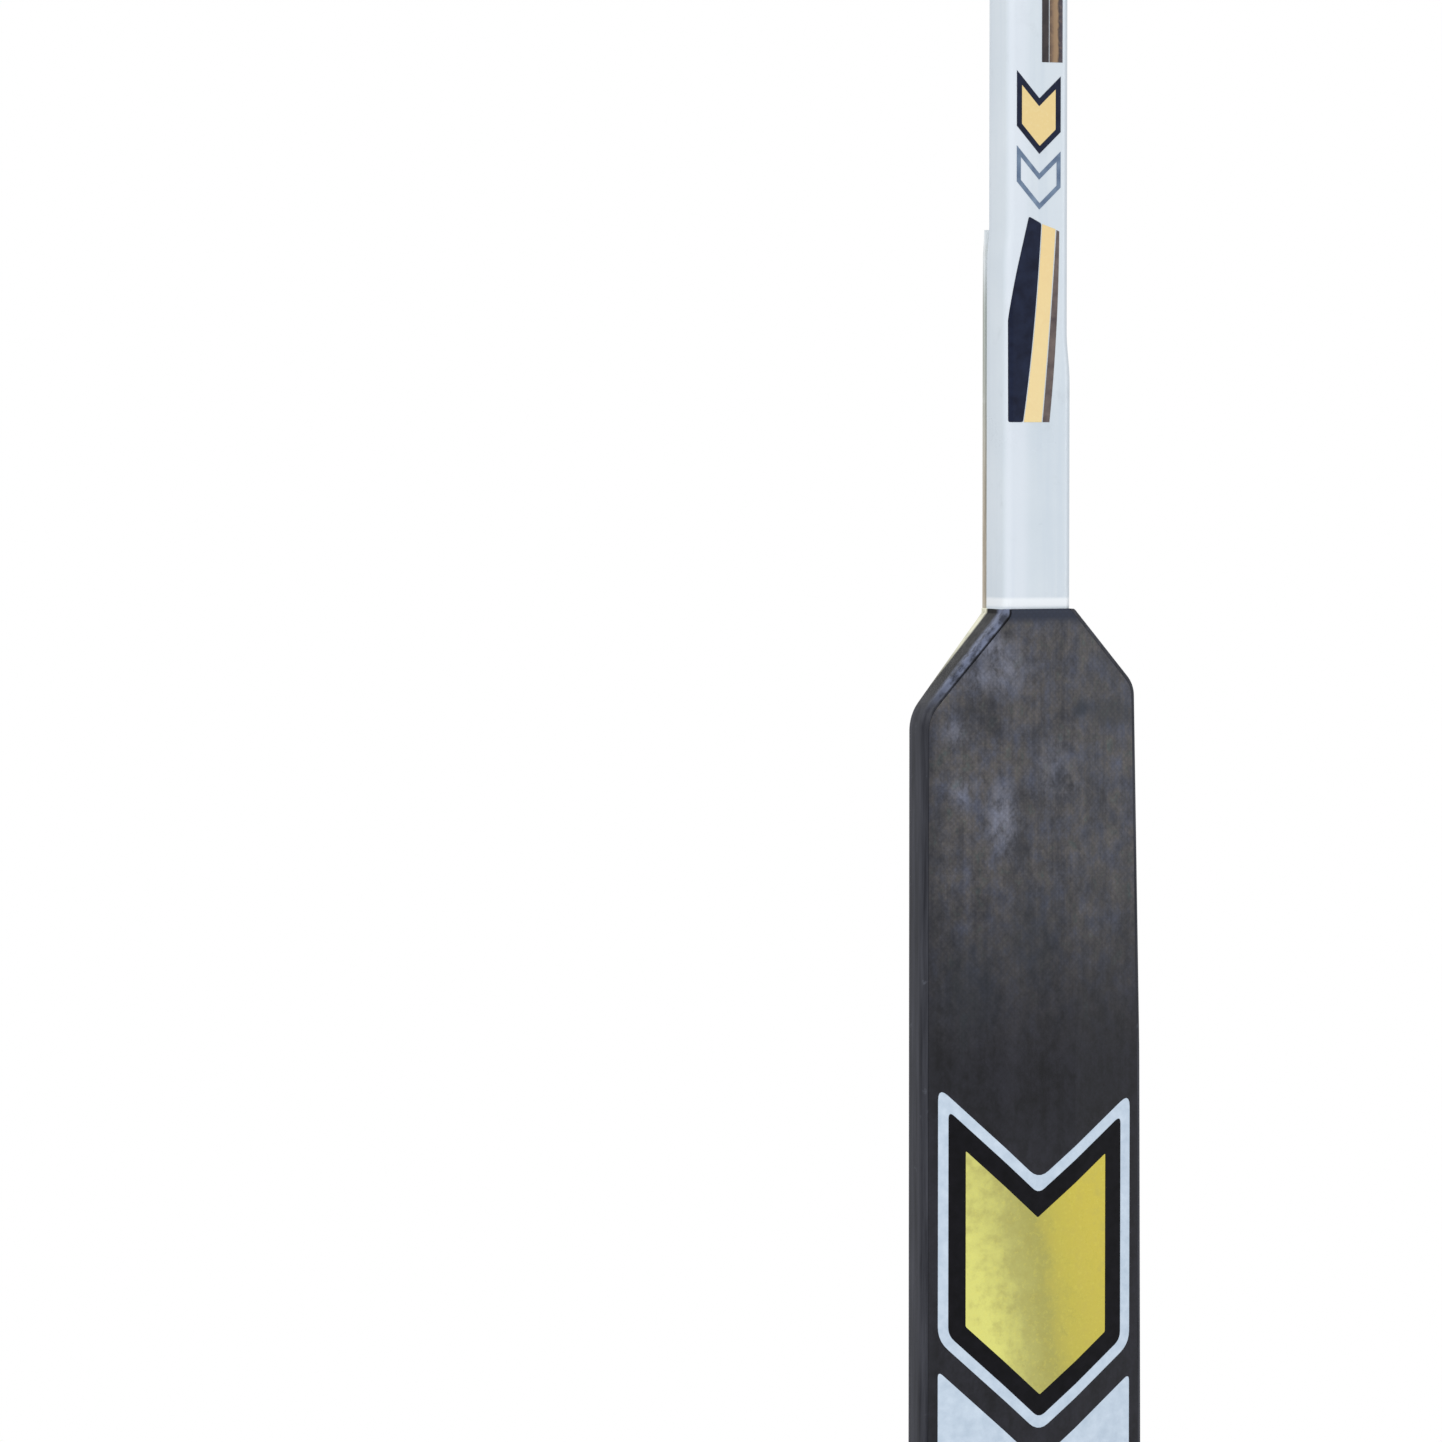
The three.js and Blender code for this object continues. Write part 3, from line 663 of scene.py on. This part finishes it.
def doubler():
    """The thin layer down the shaft's back, with raw edges that wave slightly."""
    rows = [-358, -340, -320, -200, -80, -40, 0, 40, 80, 110, 128, 131, 134, 136.4, 137]
    rings = []
    for z in rows:
        feather = min(1.0, (DOUBLER_TOP - z) / DOUBLER_FEATHER)
        thick = DOUBLER_TIP_T + (DOUBLER_T - DOUBLER_TIP_T) * feather
        high = min(DOUBLER_FRONT + thick, back_y(0, z + TOP) - SKIN - GAP)
        r = min(0.35, (high - DOUBLER_FRONT) * 0.45)
        wave = 0.12 * math.sin(z * 0.21) + 0.07 * math.sin(z * 0.57 + 1)
        left, right = DOUBLER_L + DOUBLER_MARGIN + 0.5 * wave, DOUBLER_R - DOUBLER_MARGIN
        rings.append([(x, y, z + TOP) for x, y in rounded(left, right, DOUBLER_FRONT, high, r, 4)])
    verts, faces = tube(rings)
    make("back_doubler", verts, faces, [RAW, PAINT], ["shaft_back_doubler"],
         pick=lambda f: 1 if f.normal.y > 0.6 else 0)


shaft_sleeve()
doubler()

# ---- paddle and blade ------------------------------------------------------------------------------
skin_line = outline(LIP)


def above(level):
    return lambda p: p.y - level


def below(level):
    return lambda p: level - p.y


paddle_area = cut(skin_line, above(SEAM + GAP / 2))
blade_area = cut(skin_line, below(SEAM - GAP / 2))
fine_top = (TOP - 0.15, TOP - 0.4, TOP - 0.8, TOP - 1.3)
draped("paddle_front_laminate", paddle_area, front_y, 0, SKIN, [GRAPHITE], ["paddle_front_skin"],
       rim=0.6, extra_z=fine_top)
draped("paddle_back_laminate", paddle_area, back_y, 0, SKIN, [GRAPHITE], ["paddle_back_skin"],
       rim=0.6, sign=1, extra_z=fine_top)
draped("blade_front_laminate", blade_area, front_y, 0, SKIN, [BLADE_GRAPHITE],
       ["blade_front_skin"])
draped("blade_back_laminate", blade_area, back_y, 0, SKIN, [BLADE_GRAPHITE],
       ["blade_back_skin"], sign=1)


def nose():
    """Half of the rails' section, from inside to the outermost edge: inset, and depth under the surface."""
    depth, turns = 3.2, 7
    lip = LIP - 0.06
    half_section = [(6.0, SKIN + GAP), (lip, SKIN + GAP), (lip, 0.1), (lip - 0.1, 0.0)]
    for k in range(1, turns + 1):
        w = math.pi / 2 * k / turns
        half_section.append(((lip - 0.1) * (1 - math.sin(w)), depth * (1 - math.cos(w))))
    return half_section


NOSE = nose()
LINES = {a: outline(a) for a in {a for a, _ in NOSE}}


def rail(name, first, last, material, node):
    """The edge rail round part of the outline, from one sample to another."""
    rings = []
    for k in range(first, last + 1):
        ring = []
        for a, depth in NOSE:
            p = LINES[a][k]
            ring.append((p.x, front_y(p.x, p.y) + depth, p.y))
        for a, depth in reversed(NOSE):
            p = LINES[a][k]
            ring.append((p.x, back_y(p.x, p.y) - depth, p.y))
        rings.append(ring)
    verts, faces = tube(rings)
    make(name, verts, faces, [material], [node], smooth_angle=40)


def sample_near(x, z):
    return min(range(len(EDGE_LINE)), key=lambda k: (EDGE_LINE[k].x - x) ** 2 + (EDGE_LINE[k].y - z) ** 2)


EDGE_LINE = outline(0.0)
TOE_START = 372                  # along the sole, where the toe rail starts
toe_low, toe_high = blade_point(TOE_START, 0), blade_point(TOE_START, 85)
seam_left = sample_near(LEFT, SEAM)
seam_right = sample_near(RIGHT, SEAM)
i_high, i_low = sample_near(*toe_high), sample_near(*toe_low)
rail("left_rail", 1, seam_left, RAIL, "paddle_left_rail")
rail("top_rail", seam_left, i_high, RAIL, "blade_top_rail")
rail("toe_rail", i_high, i_low, RAIL, "blade_toe_rail")
rail("sole_strip", i_low, seam_right, SOLE, "blade_sole_strip")
last_right = sample_near(CREASE_R, TOP)
rail("right_rail", seam_right, last_right, RAIL, "paddle_right_rail")

# ---- CAD pieces that keep their shape ---------------------------------------------------------------
KEPT = {
    "shaft_heart_ply": wood("aspen_core", srgb(214, 190, 150), srgb(178, 148, 104)),
    "shaft_front_ply": wood("birch_veneer_front", srgb(222, 196, 152), srgb(186, 152, 108), 420),
    "shaft_back_ply": wood("birch_veneer_back", srgb(220, 194, 150), srgb(184, 150, 106), 420),
    "blade_heel_block": wood("heel_hardwood", srgb(176, 134, 88), srgb(128, 88, 54), 180),
    "paddle_left_foam": speckled("rigid_foam_left", srgb(232, 222, 186), srgb(204, 190, 150), 700, 0.1, 0.8),
    "paddle_right_foam": speckled("rigid_foam_right", srgb(232, 222, 186), srgb(204, 190, 150),
                                  700, 0.1, 0.8),
    "blade_upper_foam": speckled("rigid_foam_upper", srgb(230, 220, 184), srgb(200, 186, 148), 700, 0.1, 0.8),
    "blade_lower_foam": speckled("rigid_foam_lower", srgb(230, 220, 184), srgb(200, 186, 148), 700, 0.1, 0.8),
    "blade_rib": speckled("glass_rib", srgb(178, 186, 168), srgb(128, 138, 118), 1200, 0.05, 0.45),
}
for node, material in KEPT.items():
    slots = frame["nodes"][node].data.materials
    for k in range(len(slots)):
        slots[k] = material

# ---- printed films ---------------------------------------------------------------------------------
PRINT_GAP, PRINT = 0.03, 0.06    # under the film, and the film's thickness
ROUND_X = [side * (9.3 + 0.2 * k) for side in (-1, 1) for k in range(18)]  # round the shaft's corners


def shaft_front(x, z):
    """The sleeve's front surface, with its rounded corners."""
    left, right = shaft_edges(z - TOP)
    over = max(0.0, x - right + SHAFT_R, left + SHAFT_R - x)
    return -SHAFT_T / 2 + SHAFT_R - math.sqrt(max(0.0, SHAFT_R ** 2 - over ** 2))


def drawn(start, *moves):
    """A closed line of straight moves (x, z) and curves (control x, z, end x, z)."""
    steps = 16
    points = [Vector(start)]
    for move in moves:
        p, q = points[-1], Vector(move[-2:])
        if len(move) == 2:
            points.append(q)
            continue
        c = Vector(move[:2])
        for k in range(1, steps + 1):
            t = k / steps
            points.append(p * (1 - t) ** 2 + c * 2 * t * (1 - t) + q * t * t)
    if (points[0] - points[-1]).length < 1e-6:
        points.pop()
    return [Vector((p.x, p.y + TOP)) for p in points]


def shrunk(points, d):
    """The closed line moved inwards by d."""
    out = []
    n = len(points)
    for i in range(n):
        a, b, c = points[i - 1], points[i], points[(i + 1) % n]
        t1, t2 = (b - a).normalized(), (c - b).normalized()
        n1, n2 = Vector((-t1.y, t1.x)), Vector((-t2.y, t2.x))
        out.append(b + (n1 + n2) * (d / (1 + n1.dot(n2))))
    return out


def softened(points, r):
    """Corners rounded off by r where there is room."""
    steps = 5
    out = []
    n = len(points)
    for i in range(n):
        a, b, c = points[i - 1], points[i], points[(i + 1) % n]
        u, w = (a - b), (c - b)
        cut_back = min(r, u.length * 0.45, w.length * 0.45)
        p, q = b + u.normalized() * cut_back, b + w.normalized() * cut_back
        for k in range(steps + 1):
            t = k / steps
            out.append(p * (1 - t) ** 2 + b * 2 * t * (1 - t) + q * t * t)
    return out


def printed(name, points, surface, node, material):
    draped(name, points, surface, -PRINT_GAP - PRINT, -PRINT_GAP, [material], [node],
           extra_x=ROUND_X if surface is shaft_front else ())


LOW = 67.4                       # the lower bars' lower end
printed("print_bar_left",
        softened(drawn((-12.0, LOW), (-6.35, LOW), (-1.55, 98, 0.85, 139), (-4.1, 141.5),
                       (-8.3, 124.5), (-11.4, 111.5, -12.1, 104)), 0.8),
        shaft_front, "lower_bar_left", NAVY)
printed("print_bar_stripe",
        drawn((-6, LOW), (1.1, LOW), (4.2, 100, 6.5, 137), (1.2, 138.8), (-1.2, 98, -6, LOW)),
        shaft_front, "lower_bar_stripe", STRIPE)
printed("print_bar_right",
        drawn((1.5, LOW), (4.2, LOW), (7.8, 100, 8, 136.2), (6.9, 136.7), (4.6, 100, 1.5, LOW)),
        shaft_front, "lower_bar_right", BRONZE)
UPPER_LOW, UPPER_TOP = 197, 282


def upright(left, right):
    return drawn((left, UPPER_LOW), (right, UPPER_LOW), (right, UPPER_TOP), (left, UPPER_TOP))


printed("print_top_left", upright(1, 3.7), shaft_front, "upper_bar_left", DUSK)
printed("print_top_stripe", upright(4, 9.2), shaft_front, "upper_bar_stripe", TOP_STRIPE)


def ring_print(name, outer, inner, surface, node, material):
    """A printed band between two lines with the same number of points, made as two halves."""
    n = len(outer)
    for part, a, b in ((name, 0, n // 2), (name + "_b", n // 2, n)):
        idx = range(a, b + 1)
        loop = [outer[i % n] for i in idx] + [inner[i % n] for i in reversed(idx)]
        draped(part, loop, surface, -PRINT_GAP - PRINT, -PRINT_GAP, [material], [node])


def chevron(left, right, tip_left, tip_right, middle, arm):
    """A plain V: its sides' x, the heights of its two tips and of its notch, and its height."""
    return [Vector((x, z + TOP)) for x, z in (
        (left, tip_left), (left, tip_left - arm), (0, middle - arm),
        (right, tip_right - arm), (right, tip_right), (0, middle))]


MARK = chevron(-9, 8.5, 194, 192, 184, 20)
OPEN_MARK = chevron(-9, 8.5, 167, 165, 157, 13)
ring_print("mark_outline", MARK, shrunk(MARK, 2), shaft_front, "shaft_mark", NAVY)
printed("mark_gold", shrunk(MARK, 2.05), shaft_front, "shaft_mark_fill", STRIPE)
ring_print("mark_slate_line", OPEN_MARK, shrunk(OPEN_MARK, 1.6), shaft_front, "shaft_mark_lower",
           SLATE)

BIG = chevron(-39, 38, -172, -177, -207, 92)
KEY = shrunk(BIG, 4)
FILL = shrunk(KEY, 6.5)
ring_print("emblem_silver_line", softened(BIG, 5), softened(shrunk(BIG, 3.9), 3), front_y,
           "emblem_outline", SILVER)
ring_print("emblem_black_band", softened(KEY, 3), softened(shrunk(FILL, -0.02), 0.6), front_y,
           "emblem_keyline", BLACK)
printed("emblem_gold", softened(shrunk(FILL, 0.02), 0.6), front_y, "emblem_fill", GOLD)
printed("emblem_pale_band", softened(chevron(-39, 38, -275, -280, -310, 36), 2.5), front_y,
        "emblem_lower_band", SILVER)

# ---- floor, light, camera: in metres ---------------------------------------------------------------
FLOOR_RADIUS, FLOOR_GAP = 1.8, 0.001
CAMERA_PLACE, CAMERA_AIM = (-1.08405, -2.25010, 0.06405), (-0.10110, 0.04615, -0.04107)
CAMERA_LENS, CAMERA_SENSOR = 171.77, 36.0


def floor():
    low = cad_box[0][2] - FLOOR_GAP
    bm = bmesh.new()
    bmesh.ops.create_circle(bm, cap_ends=True, segments=96, radius=FLOOR_RADIUS)
    mesh = bpy.data.meshes.new("floor")
    bm.to_mesh(mesh)
    bm.free()
    ob = bpy.data.objects.new("floor", mesh)
    ob.location = (-0.1, 0, low)
    bpy.context.scene.collection.objects.link(ob)
    s = Shader("pale_floor", Specular_IOR_Level=0.2)
    patch = s.noise(s.place, 3, 4)
    mesh.materials.append(s.done(s.ramp(patch, (0.3, (0.8, 0.8, 0.81)), (0.7, (0.84, 0.84, 0.85))),
                                 s.span(patch, 0.3, 0.7, 0.7, 0.8)))


def softbox(name, place, aim, size, power, colour=(1, 1, 1)):
    light = bpy.data.lights.new(name, "AREA")
    light.shape = "RECTANGLE"
    light.size, light.size_y = size
    light.energy = power
    light.color = colour
    ob = bpy.data.objects.new(name, light)
    ob.location = place
    ob.rotation_euler = (Vector(aim) - Vector(place)).to_track_quat("-Z", "Y").to_euler()
    bpy.context.scene.collection.objects.link(ob)


def world(seen, lit):
    """White behind the stick, and a dimmer even light from all round."""
    w = bpy.data.worlds.new("studio")
    bpy.context.scene.world = w
    w.use_nodes = True
    tree = w.node_tree
    back = tree.nodes["Background"]
    back.inputs["Color"].default_value = (lit * 0.98, lit * 0.99, lit * 1.01, 1)
    white = tree.nodes.new("ShaderNodeBackground")
    white.inputs["Color"].default_value = (seen, seen, seen, 1)
    path = tree.nodes.new("ShaderNodeLightPath")
    mix = tree.nodes.new("ShaderNodeMixShader")
    tree.links.new(path.outputs["Is Camera Ray"], mix.inputs[0])
    tree.links.new(back.outputs[0], mix.inputs[1])
    tree.links.new(white.outputs[0], mix.inputs[2])
    tree.links.new(mix.outputs[0], tree.nodes["World Output"].inputs["Surface"])


def camera():
    cam = bpy.data.cameras.new("camera")
    cam.lens, cam.sensor_width = CAMERA_LENS, CAMERA_SENSOR
    cam.clip_start, cam.clip_end = 0.05, 50
    ob = bpy.data.objects.new("camera", cam)
    ob.location = CAMERA_PLACE
    ob.rotation_euler = (Vector(CAMERA_AIM) - ob.location).to_track_quat("-Z", "Y").to_euler()
    bpy.context.scene.collection.objects.link(ob)
    bpy.context.scene.camera = ob


bpy.context.scene.view_settings.view_transform = "Standard"
floor()
world(1.0, 0.62)
softbox("key", (-2.3, -1.7, 1.7), (0, 0, 0), (1.6, 1.2), 50)
softbox("fill", (1.8, -1.6, 0.6), (0, 0, -0.1), (1.2, 1.6), 12, (0.94, 0.97, 1.0))
softbox("back_light", (0.6, 2.4, 1.6), (0, 0, -0.1), (1.6, 1.2), 26)
camera()
